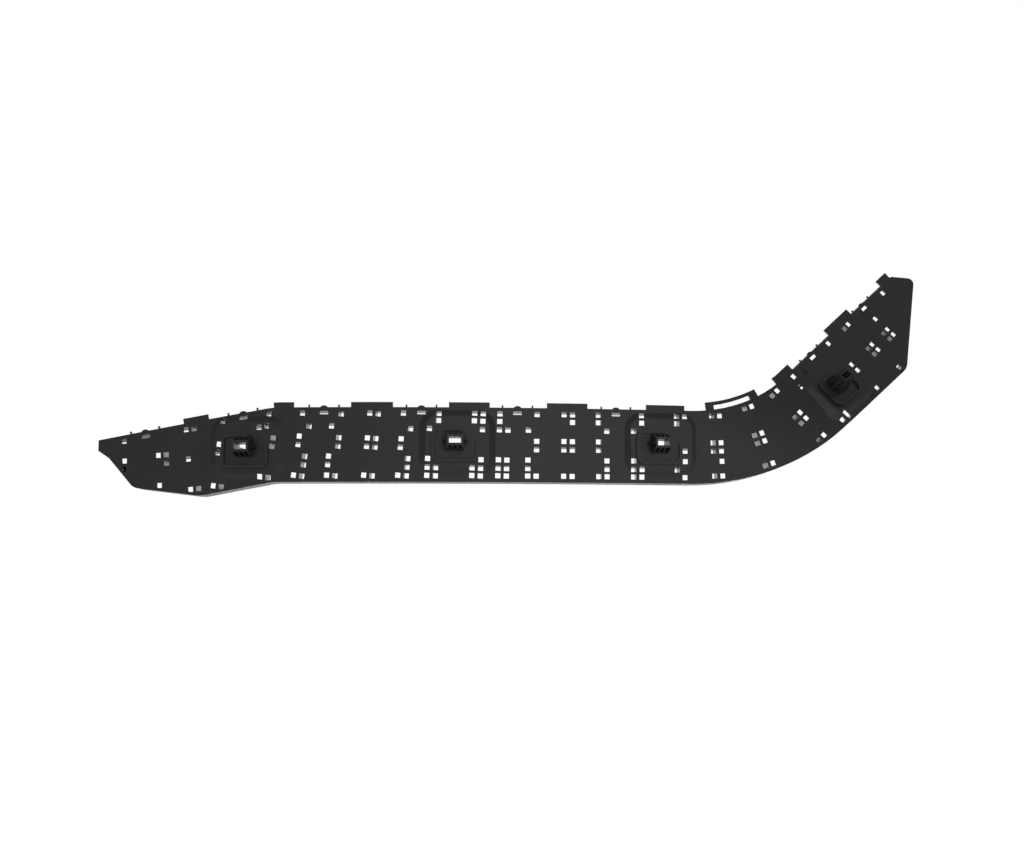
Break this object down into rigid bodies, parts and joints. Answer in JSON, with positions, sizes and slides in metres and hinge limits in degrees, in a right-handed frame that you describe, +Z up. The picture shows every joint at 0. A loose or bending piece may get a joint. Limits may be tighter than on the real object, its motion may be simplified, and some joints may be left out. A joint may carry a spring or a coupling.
{
  "type": "bumper mounting bracket",
  "caption": "Black moulded plastic strip that clips a car's bumper skin to the body: bowed ribbed run, folded-back leg, raised clip seats, small windows and edge tabs.",
  "frame": {"origin": "centre of the beaded frame of the middle clip seat, in the plane of its pad", "axes": "+X along the strip towards the folded leg, +Y from the show face to the ribs, along the mould's draw, +Z up as fitted"},
  "size_m": [0.7104, 0.2067, 0.2158],
  "materials": {
    "black_plastic": "fine matt grain"
  },
  "bodies": {
    "root": {"bracket": "black_plastic"}
  },
  "joints": []
}
